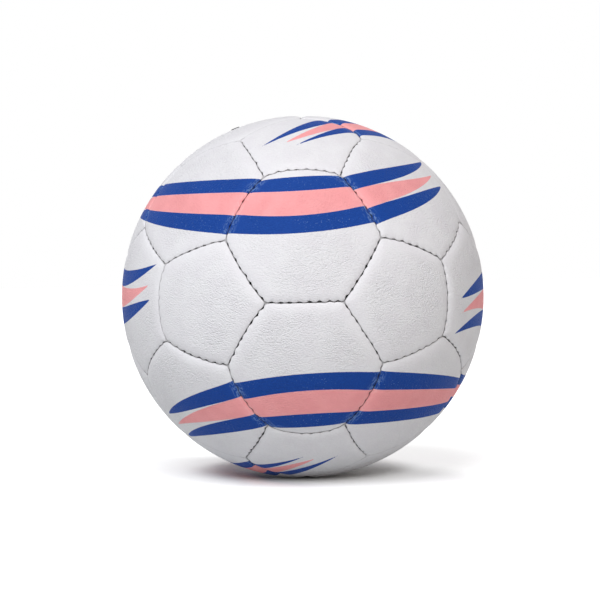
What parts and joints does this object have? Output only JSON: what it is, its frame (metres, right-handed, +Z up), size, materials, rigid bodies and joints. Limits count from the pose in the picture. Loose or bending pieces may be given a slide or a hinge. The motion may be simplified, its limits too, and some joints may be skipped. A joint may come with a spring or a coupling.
{
  "type": "handball",
  "caption": "Hand-stitched handball with a striped hexagon and pentagon cover, padded panels, an air bladder and a pull-out valve core.",
  "frame": {"origin": "the ball's centre", "axes": "+Z up, the level seam between two hexagons faces -Y, the valve lies in the XZ plane near the top"},
  "size_m": [0.1878, 0.1878, 0.1878],
  "materials": {
    "cover_leather": "matt pebbled synthetic leather, white with printed blue and pink stripes",
    "foam": "soft closed-cell foam",
    "lining_cloth": "woven cotton and polyester backing",
    "sewing_thread": "waxed polyester thread",
    "bladder_rubber": "smooth butyl rubber",
    "valve_rubber": "moulded rubber"
  },
  "bodies": {
    "ball": {"hex_panel_01": "cover_leather", "hex_panel_02": "cover_leather", "hex_panel_03": "cover_leather", "hex_panel_04": "cover_leather", "hex_panel_05": "cover_leather", "hex_panel_06": "cover_leather", "hex_panel_07": "cover_leather", "hex_panel_08": "cover_leather", "hex_panel_09": "cover_leather", "hex_panel_10": "cover_leather", "hex_panel_11": "cover_leather", "hex_panel_12": "cover_leather", "hex_panel_13": "cover_leather", "hex_panel_14": "cover_leather", "hex_panel_15": "cover_leather", "hex_panel_16": "cover_leather", "hex_panel_17": "cover_leather", "hex_panel_18": "cover_leather", "hex_panel_19": "cover_leather", "valve_panel": "cover_leather", "pent_panel_01": "cover_leather", "pent_panel_02": "cover_leather", "pent_panel_03": "cover_leather", "pent_panel_04": "cover_leather", "pent_panel_05": "cover_leather", "pent_panel_06": "cover_leather", "pent_panel_07": "cover_leather", "pent_panel_08": "cover_leather", "pent_panel_09": "cover_leather", "pent_panel_10": "cover_leather", "pent_panel_11": "cover_leather", "pent_panel_12": "cover_leather", "hex_foam_pads": "foam", "pent_foam_pads": "foam", "hex_linings": "lining_cloth", "pent_linings": "lining_cloth", "hex_hex_seam_threads": "sewing_thread", "hex_pent_seam_threads": "sewing_thread", "bladder": "bladder_rubber", "valve_housing": "valve_rubber"},
    "valve_core": {"valve_core": "valve_rubber"}
  },
  "joints": [
    {"name": "valve_core_pull", "type": "slide", "parent": "ball", "child": "valve_core", "axis": [-0.3568, 0, 0.9342], "range_m": [0, 0.02]}
  ]
}
